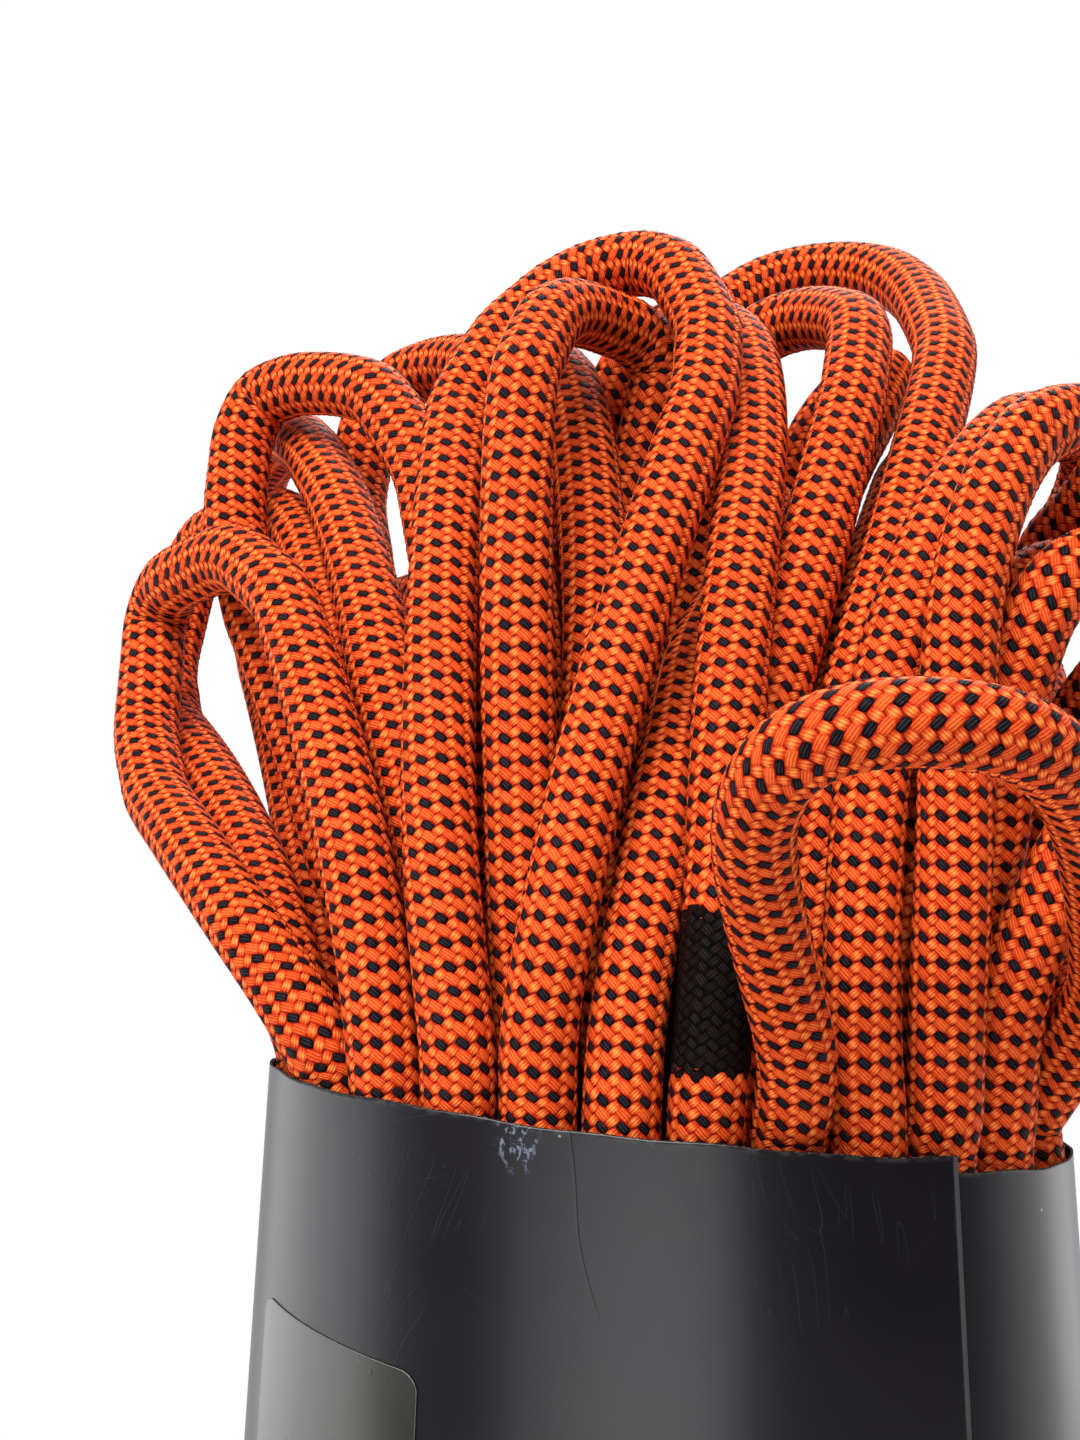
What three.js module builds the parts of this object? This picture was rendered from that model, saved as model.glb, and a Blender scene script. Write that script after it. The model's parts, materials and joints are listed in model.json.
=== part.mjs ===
import * as THREE from "three";

// A climbing rope wound into a hank that stands in a card sleeve. Millimetres, +Z up, front is -Y.

// Rope
const ROPE = 9.8; // diameter
const SIDES = 6;
const LOOP_STEPS = 24; // rings of the tube in each loop
const CLEAR = ROPE + 1.6; // centre to centre of strands that touch, along the route
const CLEAR_TUBE = ROPE + 0.8; // and along the tube's straight runs
const STEP = 5; // between the points that the route is settled on
const SETTLE_ROUNDS = 900;
const PART_ROUNDS = 500;
const LEAST_BEND = 19; // radius
const BEND_SPANS = [2, 4, 7]; // half spans, in steps
const OVER = 1.6;
const SPRING = 0.35;
const HOME = 0.03;

// Sleeve: an elliptic cone of card, wider at the foot
const SLEEVE = { wide: 112.4, deep: 75.4, high: 280, card: 0.7, layerGap: 0.6 };
const FLARE = Math.tan(THREE.MathUtils.degToRad(3.85));
const RIM_SLANT = 5.4; // the rim is this much higher at the left side and lower at the right one
const RIM_CLIMB = 2.5; // the outer end of the wrap ends this much higher than the inner one
const WRAP = { from: 12, to: 397, steps: 104, liftFrom: 340, liftTo: 370 }; // degrees from the front

// Double-sided tape between the layers of the overlap
const SEAM = { from: 377, to: 392, thick: 0.2, gap: 0.2, low: 6, below: 8, steps: 6 };

// Film label, stuck on askew
const LABEL = { from: -71, to: -35, top: -25, fall: 5.6, tall: 70, corner: 4, thick: 0.2, gap: 0.3 };

// Inside the sleeve the strands stand in three rings
const WALL_GAP = 0.35; // between the sleeve and the strands
const NECK = SLEEVE.high - 8; // height at which the feet are given
const OUTER_INSET = SLEEVE.card + 2 * WALL_GAP + ROPE / 2;
const RINGS = [
  { strands: 24, first: 3 },
  { strands: 16, first: 5.9 },
  { strands: 10, first: 6.3 },
].map((ring, k) => ({
  ...ring,
  a: SLEEVE.wide / 2 - OUTER_INSET - k * CLEAR_TUBE,
  b: SLEEVE.deep / 2 - OUTER_INSET - k * CLEAR_TUBE,
}));
const FOLD = { low: ROPE / 2 + 0.4, layer: ROPE + 1.7, rise: 34 };

// Each loop: the level of the fold before it, ring and place along it of both feet, the apex with
// its height above the rim, its heading in degrees from +X and the reach of the arch to either side.
// The loops follow each other along the rope.
const LOOPS = [
  // fold  foot A  foot B   apex x   y   z   heading reach
  [1, 0, 9, 0, 3, 63, 6, 92, -145, 30],
  [0, 1, -1, 0, -10, -6, 62, 105, 60, 18],
  [2, 0, 10, 0, 2, 63, 16, 92, -140, 30],
  [1, 0, -2, 0, -3, 2, 36, 113, 165, 15],
  [3, 0, 1, 0, 5, 20, -69, 53, 0, 28],
  [1, 2, 0, 2, 4, 38, 64, 114, 130, 18],
  [2, 0, 7, 0, 4, 74, -2, 58, -130, 22],
  [2, 1, 0, 1, 7, 13, 60, 115, 150, 20],
  [3, 1, -5, 2, -3, -57, 58, 100, -51, 18],
  [3, 2, 3, 1, 4, 44, 80, 76, 30, 24],
  [0, 2, -5, 1, 1, 29, 86, 131, -15, 34],
  [1, 1, -3, 0, -7, -72, 86, 98, 110, 14],
  [1, 1, -7, 2, -1, -22, 88, 86, -60, 24],
  [2, 1, 3, 0, 8, 62, 0, 78, 35, 26],
  [0, 1, -8, 0, -1, 0, 86, 92, -60, 22],
  [0, 0, -5, 0, -4, -69, 56, 68, -67, 15],
  [2, 0, 0, 0, -12, 10, 52, 116, 140, 20],
  [0, 0, -8, 2, -4, -50, 92, 66, -60, 24],
  [1, 1, 5, 2, 2, 60, 44, 70, -120, 24],
  [1, 2, -2, 1, -6, -39, 66, 111, 150, 24],
  [2, 1, 6, 2, 1, 46, 50, 96, -120, 24],
  [3, 0, 6, 1, 2, 60, 18, 70, -140, 24],
  [0, 1, -4, 0, -6, -71, 78, 88, 118, 20],
  [3, 1, -2, 0, -9, 4, 48, 107, 20, 18],
];
const LAST_FOLD = 3;

// Both ends of the rope lean out at the back; each has its last stretch made of its own pieces
const TAIL = 45; // the length of each such stretch, from the hank to the fused tip
const TAIL_LEAN = 62; // degrees from upright
const TAIL_STRAIGHT = TAIL + 1.5 * ROPE;
const TAILS = [
  { foot: [0, -11], turn: 112, out: 12, up: 28 },
  { foot: [0, 11], turn: 64, out: 12, up: 28 },
];
const END = { sheath: 1.3, strandGap: 0.35, slack: 0.15, tip: 3, join: 0.3, melted: [1.2, 0.4] };
const BAND = { gap: 0.3, wall: 0.25, long: 20, fromTip: 6 };

const up = new THREE.Vector3(0, 0, 1);
const point = (x, y, z) => new THREE.Vector3(x, y, z);
const radians = THREE.MathUtils.degToRad;
const ABOVE_RIM = 6; // strands stay within the cone up to this height above the rim
const SAME_STRAND = 2.6 * ROPE; // points nearer than this along the rope don't count as touching

const onEllipseLength = (a, b) =>
  Math.PI * (3 * (a + b) - Math.sqrt((3 * a + b) * (a + 3 * b)));

// A point on an ellipse, s millimetres along it from the front, to the right
function onEllipse(a, b, s) {
  const steps = 720;
  let t = 0;
  let gone = 0;
  const dt = (Math.sign(s) * 2 * Math.PI) / steps;
  while (gone < Math.abs(s)) {
    gone += Math.hypot(a * Math.cos(t + dt / 2), b * Math.sin(t + dt / 2)) * Math.abs(dt);
    t += dt;
  }
  return [a * Math.sin(t), -b * Math.cos(t)];
}

const feet = RINGS.map(({ a, b, strands, first }) => {
  const round = onEllipseLength(a, b);
  const pitch = round / strands;
  return (place) => onEllipse(a, b, first + pitch * place);
});
const foot = (ring, place) => feet[ring](place);

// Where the strand of a foot is at height z inside the sleeve, which widens downwards
function legPoint([x, y], z) {
  const more = (NECK - z) * FLARE;
  return point(x * (1 + more / RINGS[0].a), y * (1 + (0.8 * more) / RINGS[0].b), z);
}

function bezier(p0, p1, p2, p3, count) {
  return new THREE.CubicBezierCurve3(p0, p1, p2, p3).getPoints(count);
}

// The rope's centre line as first laid: up a leg, over the arch, down a leg and through a fold
function firstRoute() {
  const route = [];
  const add = (points) => points.forEach((p) => route.push(p));
  const leg = (f, from, to) =>
    add([0, 0.25, 0.5, 0.75, 1].map((k) => legPoint(f, from + (to - from) * k)));
  const fold = (from, to, level) => {
    const low = FOLD.low + level * FOLD.layer;
    const a = legPoint(from, low + FOLD.rise);
    const b = legPoint(to, low + FOLD.rise);
    const drop = point(0, 0, (-4 / 3) * FOLD.rise);
    add(bezier(a, a.clone().add(drop), b.clone().add(drop), b, 16));
  };
  const top = (level) => FOLD.low + FOLD.rise + level * FOLD.layer;
  // A tail from the neck to the fused tip, its end straight
  const tailRise = ({ foot: [ring, place], turn, out, up: rise }) => {
    const neck = legPoint(foot(ring, place), NECK);
    const lean = radians(TAIL_LEAN);
    const flat = point(Math.cos(radians(turn)), Math.sin(radians(turn)), 0);
    const along = flat.clone().multiplyScalar(Math.sin(lean)).addScaledVector(up, Math.cos(lean));
    const from = neck.clone().addScaledVector(flat, out).addScaledVector(up, rise);
    const bend = bezier(
      neck,
      neck.clone().addScaledVector(up, rise * 0.55),
      from.clone().addScaledVector(along, -rise * 0.4),
      from,
      12,
    );
    return [...bend, from.clone().addScaledVector(along, TAIL_STRAIGHT)];
  };

  const [start, end] = TAILS;
  add(tailRise(start).reverse());
  let last = foot(...start.foot);
  leg(last, NECK, top(LOOPS[0][0]));
  LOOPS.forEach(([level, ringA, placeA, ringB, placeB, x, y, z, heading, reach], i) => {
    const [fa, fb] = [foot(ringA, placeA), foot(ringB, placeB)];
    fold(last, fa, level);
    leg(fa, top(level), NECK);
    const [na, nb] = [legPoint(fa, NECK), legPoint(fb, NECK)];
    const apex = point(x, y, SLEEVE.high + z);
    const turn = radians(heading);
    const along = point(Math.cos(turn) * reach, Math.sin(turn) * reach, 0);
    const rise = (apex.z - NECK) * 0.55;
    add(bezier(na, na.clone().addScaledVector(up, rise), apex.clone().sub(along), apex, 24));
    add(bezier(apex, apex.clone().add(along), nb.clone().addScaledVector(up, rise), nb, 24));
    leg(fb, NECK, top(LOOPS[i + 1]?.[0] ?? LAST_FOLD));
    last = fb;
  });
  fold(last, foot(...end.foot), LAST_FOLD);
  leg(foot(...end.foot), top(LAST_FOLD), NECK);
  add(tailRise(end));
  return route;
}

// The same line as points at even steps
function evenly(points, step) {
  const out = [points[0].clone()];
  let left = step;
  for (let i = 1; i < points.length; i++) {
    let from = points[i - 1].clone();
    let room = from.distanceTo(points[i]);
    while (room >= left) {
      from = from.clone().lerp(points[i], left / room);
      out.push(from);
      room = from.distanceTo(points[i]);
      left = step;
    }
    left -= room;
  }
  return out;
}

// Pairs of points that are nearer than reach, and further than that along the rope
function nearPairs(p, along, reach) {
  const cells = new Map();
  const cell = (v) => Math.floor(v / reach);
  const keyAt = (x, y, z) => (x * 4096 + y) * 4096 + z;
  p.forEach((v, i) => {
    const key = keyAt(cell(v.x), cell(v.y), cell(v.z));
    if (!cells.has(key)) cells.set(key, []);
    cells.get(key).push(i);
  });
  const pairs = [];
  p.forEach((v, i) => {
    for (let dx = -1; dx <= 1; dx++)
      for (let dy = -1; dy <= 1; dy++)
        for (let dz = -1; dz <= 1; dz++) {
          const key = keyAt(cell(v.x) + dx, cell(v.y) + dy, cell(v.z) + dz);
          for (const j of cells.get(key) ?? [])
            if (along[j] > along[i] + SAME_STRAND && v.distanceTo(p[j]) < reach)
              pairs.push([i, j]);
        }
  });
  return pairs;
}

const rimHeight = (theta) =>
  SLEEVE.high - RIM_SLANT * Math.sin(theta) + RIM_CLIMB * (theta / (2 * Math.PI) - 1);

// Keeps a strand inside the sleeve and off the ground
function confine(v) {
  if (v.z < FOLD.low) v.z = FOLD.low;
  if (v.z > rimHeight(Math.atan2(v.x / SLEEVE.wide, -v.y / SLEEVE.deep)) + ABOVE_RIM) return;
  const more = (SLEEVE.high - v.z) * FLARE;
  const room = SLEEVE.card + WALL_GAP + ROPE / 2;
  const a = SLEEVE.wide / 2 + more - room;
  const b = SLEEVE.deep / 2 + more - room;
  const out = Math.hypot(v.x / a, v.y / b);
  if (out > 1) {
    v.x /= out;
    v.y /= out;
  }
}

// Moves strands apart that lie in each other, holding the rope's length and its least bend
function settle(route) {
  const p = evenly(route, STEP);
  const along = p.map((_, i) => i * STEP);
  const home = p.map((v) => v.clone());
  const bow = p.map((v, i) =>
    i && i < p.length - 1
      ? point(0, 0, 0).addVectors(p[i - 1], p[i + 1]).multiplyScalar(0.5).sub(v)
      : point(0, 0, 0),
  );
  const pinned = Math.ceil(TAIL_STRAIGHT / STEP);
  const fixed = p.map((_, i) => i < pinned || i >= p.length - pinned);
  // A chord of the least bend, for the spans that are kept open
  const spans = BEND_SPANS.map((half) => {
    const turn = Math.min((half * STEP) / LEAST_BEND, Math.PI / 2);
    return [half, 2 * LEAST_BEND * Math.sin(turn)];
  });
  let pairs = [];
  const push = p.map(() => point(0, 0, 0));
  const hits = new Float64Array(p.length);
  const gap = point(0, 0, 0);
  const part = (i, j, want) => {
    gap.subVectors(p[j], p[i]);
    const d = gap.length();
    if (d === 0 || d >= want) return;
    gap.multiplyScalar((0.5 * (want - d)) / d);
    push[i].sub(gap);
    push[j].add(gap);
    hits[i]++;
    hits[j]++;
  };
  for (let round = 0; round < SETTLE_ROUNDS; round++) {
    if (round % 8 === 0) pairs = nearPairs(p, along, CLEAR + 3);
    const late = round / SETTLE_ROUNDS;
    push.forEach((v) => v.set(0, 0, 0));
    hits.fill(0);
    for (const [i, j] of pairs) part(i, j, CLEAR);
    for (const [half, chord] of spans)
      for (let i = half; i < p.length - half; i++) part(i - half, i + half, chord);
    p.forEach((v, i) => {
      if (hits[i]) push[i].multiplyScalar(OVER / (hits[i] + 0.5));
    });
    // The rope bends back towards its first shape
    for (let i = 1; i < p.length - 1; i++) {
      gap.addVectors(p[i - 1], p[i + 1]).multiplyScalar(0.5).sub(p[i]).sub(bow[i]);
      push[i].addScaledVector(gap, SPRING * Math.min(1, 2.2 - 2 * late));
    }
    p.forEach((v, i) => {
      if (fixed[i]) return;
      if (late < 0.5) push[i].addScaledVector(gap.subVectors(home[i], v), HOME * (0.5 - late));
      const far = push[i].length();
      if (far > 2) push[i].multiplyScalar(2 / far);
      v.add(push[i]);
      confine(v);
    });
  }
  return p;
}

// Rings of the tube: more of them where the rope bends
function rings(points, count) {
  const weight = [0];
  for (let i = 1; i < points.length; i++) {
    const [a, b, c] = [points[Math.max(0, i - 2)], points[i - 1], points[i]];
    const bend = i > 1 ? b.clone().sub(a).angleTo(c.clone().sub(b)) : 0;
    weight.push(weight[i - 1] + Math.sqrt(b.distanceTo(c) * (bend + b.distanceTo(c) / 2000)));
  }
  const out = [];
  let at = 0;
  for (let k = 0; k <= count; k++) {
    const want = (weight[weight.length - 1] * k) / count;
    while (at < weight.length - 2 && weight[at + 1] < want) at++;
    const share = (want - weight[at]) / (weight[at + 1] - weight[at]);
    out.push(points[at].clone().lerp(points[at + 1], share));
  }
  return out;
}

const lengths = (points) => {
  const out = [0];
  for (let i = 1; i < points.length; i++)
    out.push(out[i - 1] + points[i].distanceTo(points[i - 1]));
  return out;
};

// Moves the rings until the straight runs between them clear each other
function partRuns(points) {
  const p = points.map((v) => v.clone());
  const moved = p.map(() => point(0, 0, 0));
  const push = p.map(() => point(0, 0, 0));
  const hits = new Float64Array(p.length);
  const gap = point(0, 0, 0);
  let spots = [];
  let pairs = [];
  // The worst places count most
  const press = (q, by, weight) => {
    const [i, t] = spots[q];
    push[i].addScaledVector(by, weight * (1 - t));
    push[i + 1].addScaledVector(by, weight * t);
    hits[i] += weight * (1 - t);
    hits[i + 1] += weight * t;
  };
  for (let round = 0; round < PART_ROUNDS; round++) {
    if (round % 6 === 0) {
      const far = lengths(p);
      spots = [];
      for (let i = 0; i < p.length - 1; i++) {
        const count = Math.ceil((far[i + 1] - far[i]) / 2.5);
        for (let k = 0; k < count; k++) spots.push([i, (k + 0.5) / count]);
      }
      const at = spots.map(([i, t]) => p[i].clone().lerp(p[i + 1], t));
      const along = spots.map(([i, t]) => far[i] + (far[i + 1] - far[i]) * t);
      pairs = nearPairs(at, along, CLEAR_TUBE + 2);
    }
    push.forEach((v) => v.set(0, 0, 0));
    hits.fill(0);
    const at = spots.map(([i, t]) => p[i].clone().lerp(p[i + 1], t));
    for (const [m, n] of pairs) {
      gap.subVectors(at[n], at[m]);
      const d = gap.length();
      if (d >= CLEAR_TUBE || d === 0) continue;
      gap.multiplyScalar((0.5 * (CLEAR_TUBE - d)) / d);
      press(m, gap.negate(), CLEAR_TUBE - d);
      press(n, gap.negate(), CLEAR_TUBE - d);
    }
    at.forEach((v, q) => {
      const kept = v.clone();
      confine(kept);
      gap.subVectors(kept, v);
      if (gap.length() > 0) press(q, gap, gap.length());
    });
    for (let i = 2; i < p.length - 2; i++) {
      const before = p[i].clone();
      if (hits[i]) p[i].addScaledVector(push[i], 1.5 / (hits[i] + 0.02));
      gap.addVectors(moved[i - 1], moved[i + 1]).multiplyScalar(0.5).sub(moved[i]);
      p[i].addScaledVector(gap, 0.1);
      confine(p[i]);
      moved[i].add(p[i]).sub(before);
    }
  }
  return p;
}

// The least distance between strands, measured on points along the straight runs
function leastGap(points) {
  const fine = evenly(points, 1.5);
  const near = nearPairs(fine, lengths(fine), ROPE + 4);
  let least = Infinity;
  near.forEach(([i, j]) => (least = Math.min(least, fine[i].distanceTo(fine[j]))));
  return least - ROPE;
}

function meshData(position, index) {
  const geometry = new THREE.BufferGeometry();
  geometry.setAttribute("position", new THREE.Float32BufferAttribute(position, 3));
  geometry.setIndex(index);
  return geometry;
}

// An unbroken tube through the points, its ends closed
function tube(points, radius, sides) {
  const position = [];
  const index = [];
  const tangentAt = (i) =>
    points[Math.min(i + 1, points.length - 1)].clone().sub(points[Math.max(i - 1, 0)]).normalize();
  let tangent = tangentAt(0);
  const side = point(1, 0.3, 0.2).cross(tangent).normalize();
  points.forEach((p, i) => {
    const next = tangentAt(i);
    side.applyQuaternion(new THREE.Quaternion().setFromUnitVectors(tangent, next)).normalize();
    tangent = next;
    const other = tangent.clone().cross(side);
    for (let k = 0; k < sides; k++) {
      const turn = (2 * Math.PI * k) / sides;
      const v = p.clone().addScaledVector(side, radius * Math.cos(turn));
      position.push(...v.addScaledVector(other, radius * Math.sin(turn)).toArray());
    }
  });
  const last = (points.length - 1) * sides;
  for (let i = 0; i < points.length - 1; i++)
    for (let k = 0; k < sides; k++) {
      const [a, b] = [i * sides + k, i * sides + ((k + 1) % sides)];
      index.push(a, b, a + sides, b, b + sides, a + sides);
    }
  for (let k = 1; k < sides - 1; k++) {
    index.push(0, k + 1, k);
    index.push(last, last + k, last + k + 1);
  }
  return meshData(position, index);
}

// A sheet that follows the cone from one azimuth to another. Each column has its azimuth and heights.
function wrapped(columns, lift, thick) {
  const position = [];
  for (const { theta, low, high } of columns)
    for (const z of [low, high])
      for (const out of [lift(theta), lift(theta) - thick]) {
        const more = (SLEEVE.high - z) * FLARE + out;
        const [a, b] = [SLEEVE.wide / 2 + more, SLEEVE.deep / 2 + more];
        position.push(a * Math.sin(theta), -b * Math.cos(theta), z);
      }
  // Corners of a column: 0 low outer, 1 low inner, 2 high outer, 3 high inner
  const index = [];
  const quad = (a, b, c, d) => index.push(a, b, c, a, c, d);
  const last = 4 * (columns.length - 1);
  for (let i = 0; i < last; i += 4)
    for (const [m, n] of [[0, 2], [2, 3], [3, 1], [1, 0]]) quad(i + m, i + 4 + m, i + 4 + n, i + n);
  quad(0, 2, 3, 1);
  quad(last, last + 1, last + 3, last + 2);
  return meshData(position, index);
}

// Straight pieces of the rope's end, along +Z from the hank's cut
function cylinder(radius, from, to, sides) {
  return new THREE.CylinderGeometry(radius, radius, to - from, sides)
    .rotateX(Math.PI / 2)
    .translate(0, 0, (from + to) / 2);
}
function pipe(outer, bore, from, to, sides) {
  const profile = [[bore, from], [outer, from], [outer, to], [bore, to], [bore, from]];
  const turned = profile.map(([r, z]) => new THREE.Vector2(r / 2, z));
  return new THREE.LatheGeometry(turned, sides).rotateX(Math.PI / 2);
}

const group = new THREE.Group();
function add(name, geometry, { color, roughness = 0.6, opacity = 1, metalness = 0 }) {
  const material = new THREE.MeshStandardMaterial({ color, roughness, metalness, opacity });
  material.transparent = opacity < 1;
  const mesh = new THREE.Mesh(geometry, material);
  mesh.name = name;
  group.add(mesh);
  return mesh;
}

const SHEATH = { color: 0xf0641e, roughness: 0.6 };
const CORE = { color: 0xf2efe6, roughness: 0.7 };
const CARD = { color: 0x2f2d31, roughness: 0.55 };
const FILM = { color: 0x6d6a5c, roughness: 0.3, opacity: 0.7 };
const CLEAR_FILM = { color: 0xe8e8e8, roughness: 0.15, opacity: 0.4 };
const TAPE = { color: 0xd8d2c0, roughness: 0.7 };
const FUSED = { color: 0xb04818, roughness: 0.35 };

// The hank
const route = settle(firstRoute());
const tailPoints = Math.round(TAIL / STEP);
const hank = route.slice(tailPoints, route.length - tailPoints);
const square = 2; // steps from the cut that stay straight, so that the end is square
const hankRings = partRuns([
  hank[0],
  ...rings(hank.slice(square, -square), LOOPS.length * LOOP_STEPS - 2),
  hank[hank.length - 1],
]);
console.log(
  `rope ${(lengths(route).pop() / 1000).toFixed(2)} m, least gap of the tube to itself`,
  `${leastGap(hankRings).toFixed(2)} mm, of the route ${leastGap(route).toFixed(2)} mm`,
);
add("rope_hank", tube(hankRings, ROPE / 2, SIDES), SHEATH);

// The last stretch of either end
function endPieces(name, cut, tip) {
  const along = tip.clone().sub(cut).normalize();
  const turned = new THREE.Quaternion().setFromUnitVectors(up, along);
  const place = (piece, geometry, look) => {
    const mesh = add(`${name}_${piece}`, geometry, look);
    mesh.position.copy(cut);
    mesh.quaternion.copy(turned);
  };
  const long = tip.distanceTo(cut);
  const [from, to] = [END.join, long - END.tip - END.join];
  const bore = ROPE - 2 * END.sheath;
  place("sheath", pipe(ROPE, bore, from, to, 24), SHEATH);
  // Six strands round one, with the same gap all over
  const strandWide = bore / 3 - END.strandGap - END.slack;
  const strandRing = strandWide + END.strandGap;
  for (let k = 0; k < 7; k++) {
    const turn = (k * Math.PI) / 3;
    const out = k === 6 ? 0 : strandRing;
    const strand = cylinder(strandWide / 2, from, to, 10);
    strand.translate(out * Math.cos(turn), out * Math.sin(turn), 0);
    place(`core_${k + 1}`, strand, CORE);
  }
  const [drawn, lip] = END.melted;
  const dome = [
    [0, -END.tip],
    [ROPE / 2, -END.tip],
    [ROPE / 2, -drawn],
    [ROPE / 2 - lip, -0.5],
    [ROPE / 2 - drawn, 0],
    [0, 0],
  ];
  const melted = dome.map(([r, z]) => new THREE.Vector2(r, z + long));
  place("tip", new THREE.LatheGeometry(melted, 24).rotateX(Math.PI / 2), FUSED);
  const bandTo = long - BAND.fromTip;
  const bandBore = ROPE + 2 * BAND.gap;
  const bandWide = bandBore + 2 * BAND.wall;
  place("band", pipe(bandWide, bandBore, bandTo - BAND.long, bandTo, 24), CLEAR_FILM);
}
endPieces("end_a", route[tailPoints], route[0]);
endPieces("end_b", route[route.length - 1 - tailPoints], route[route.length - 1]);

// The sleeve and what is stuck to it
const sweep = (from, to, count) =>
  Array.from({ length: count + 1 }, (_, k) => radians(from + ((to - from) * k) / count));
const layer = SLEEVE.card + SLEEVE.layerGap;
const smooth = (theta) =>
  THREE.MathUtils.smoothstep(THREE.MathUtils.radToDeg(theta), WRAP.liftFrom, WRAP.liftTo);
const card = sweep(WRAP.from, WRAP.to, WRAP.steps);
add(
  "sleeve",
  wrapped(
    card.map((theta) => ({ theta, low: 0, high: rimHeight(theta) })),
    (theta) => layer * smooth(theta),
    SLEEVE.card,
  ),
  CARD,
);
const seam = sweep(SEAM.from, SEAM.to, SEAM.steps);
add(
  "seam_tape",
  wrapped(
    seam.map((theta) => ({ theta, low: SEAM.low, high: rimHeight(theta) - SEAM.below })),
    () => SEAM.gap + SEAM.thick,
    SEAM.thick,
  ),
  TAPE,
);
const labelRound = (Math.hypot(SLEEVE.wide, SLEEVE.deep) / 2 / Math.SQRT2) * radians(1);
const labelWide = (LABEL.to - LABEL.from) * labelRound;
const arc = sweep(0, 90, 5).map((turn) => (LABEL.corner * (1 - Math.cos(turn))) / labelRound);
const labelColumns = [
  ...arc.map((u) => LABEL.from + u),
  ...sweep(0, 1, 10).slice(1, -1).map((k) => {
    const inner = LABEL.corner / labelRound;
    return LABEL.from + inner + THREE.MathUtils.radToDeg(k) * (LABEL.to - LABEL.from - 2 * inner);
  }),
  ...arc.map((u) => LABEL.to - u).reverse(),
];
add(
  "label",
  wrapped(
    labelColumns.map((degrees) => {
      const u = (degrees - LABEL.from) * labelRound;
      const edge = Math.max(0, LABEL.corner - Math.min(u, labelWide - u));
      const cut = LABEL.corner - Math.sqrt(LABEL.corner ** 2 - edge ** 2);
      const top = SLEEVE.high + LABEL.top - (LABEL.fall * u) / labelWide;
      return { theta: radians(degrees), low: top - LABEL.tall + cut, high: top - cut };
    }),
    () => LABEL.gap + LABEL.thick,
    LABEL.thick,
  ),
  FILM,
);

// The origin is the middle of the foot of the whole thing's box
const box = new THREE.Box3().setFromObject(group);
group.position.set(-(box.min.x + box.max.x) / 2, -(box.min.y + box.max.y) / 2, 0);

export default group;
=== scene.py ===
import itertools
import json
import math

import bpy
import numpy as np
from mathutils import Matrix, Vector

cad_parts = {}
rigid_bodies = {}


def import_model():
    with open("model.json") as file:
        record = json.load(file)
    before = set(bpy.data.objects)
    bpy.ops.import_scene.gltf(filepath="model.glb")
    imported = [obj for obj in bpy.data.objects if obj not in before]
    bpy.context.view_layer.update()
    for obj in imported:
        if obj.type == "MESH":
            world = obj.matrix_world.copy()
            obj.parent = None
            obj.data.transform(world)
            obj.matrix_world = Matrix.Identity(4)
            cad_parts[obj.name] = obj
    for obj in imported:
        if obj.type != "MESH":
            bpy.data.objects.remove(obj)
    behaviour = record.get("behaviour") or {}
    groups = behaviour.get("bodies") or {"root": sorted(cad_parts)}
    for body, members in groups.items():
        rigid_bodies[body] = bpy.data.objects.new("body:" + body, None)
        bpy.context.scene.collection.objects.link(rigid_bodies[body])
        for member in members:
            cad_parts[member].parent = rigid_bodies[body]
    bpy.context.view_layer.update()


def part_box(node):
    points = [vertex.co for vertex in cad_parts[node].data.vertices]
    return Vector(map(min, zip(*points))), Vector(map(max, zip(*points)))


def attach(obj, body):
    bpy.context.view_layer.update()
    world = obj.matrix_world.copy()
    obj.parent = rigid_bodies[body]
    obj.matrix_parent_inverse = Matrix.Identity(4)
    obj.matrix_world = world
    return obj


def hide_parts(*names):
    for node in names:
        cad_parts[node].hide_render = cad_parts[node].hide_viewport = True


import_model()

# ---------------------------------------------------------------- the rope's route, in millimetres
# The same route as the CAD's: it is laid by the same rules, and the strands then move apart.

ROPE = 9.8  # diameter
CLEAR = ROPE + 1.6  # centre to centre of strands that touch
STEP = 5.0  # between the points that the route is settled on
SETTLE_ROUNDS = 900
PAIRS_EVERY = 8  # rounds between two searches for near strands
PAIRS_BEYOND = 3.0  # and how much further than CLEAR they look
LEAST_BEND = 19.0  # radius
BEND_SPANS = (2, 4, 7)  # half spans, in steps
OVER = 1.6  # how far strands are pushed, as a share of what they overlap
SPRING = 0.35  # pull back to the first bend, as a share of the way in one round
HOME = 0.03  # pull back to the first place
MOST_PUSH = 2.0  # of a point in one round

WIDE, DEEP, HIGH, CARD = 112.4, 75.4, 280.0, 0.7  # the sleeve, outside, at its rim
FLARE = math.tan(math.radians(3.85))
RIM_SLANT = 5.4  # the rim is this much higher at the left side and lower at the right one
RIM_CLIMB = 2.5  # the wrap's outer end is this much higher than its inner one

NECK = HIGH - 8  # height at which the feet are given
# Three rings of strands: how far inside the sleeve's face, how many, where the first one is
RINGS = [
    (WIDE / 2 - inset, DEEP / 2 - inset, strands, first)
    for inset, strands, first in ((6.3, 24, 3), (16.9, 16, 5.9), (27.5, 10, 6.3))
]
FOLD_LOW, FOLD_LAYER, FOLD_RISE = ROPE / 2 + 0.4, ROPE + 1.7, 34.0

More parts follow.
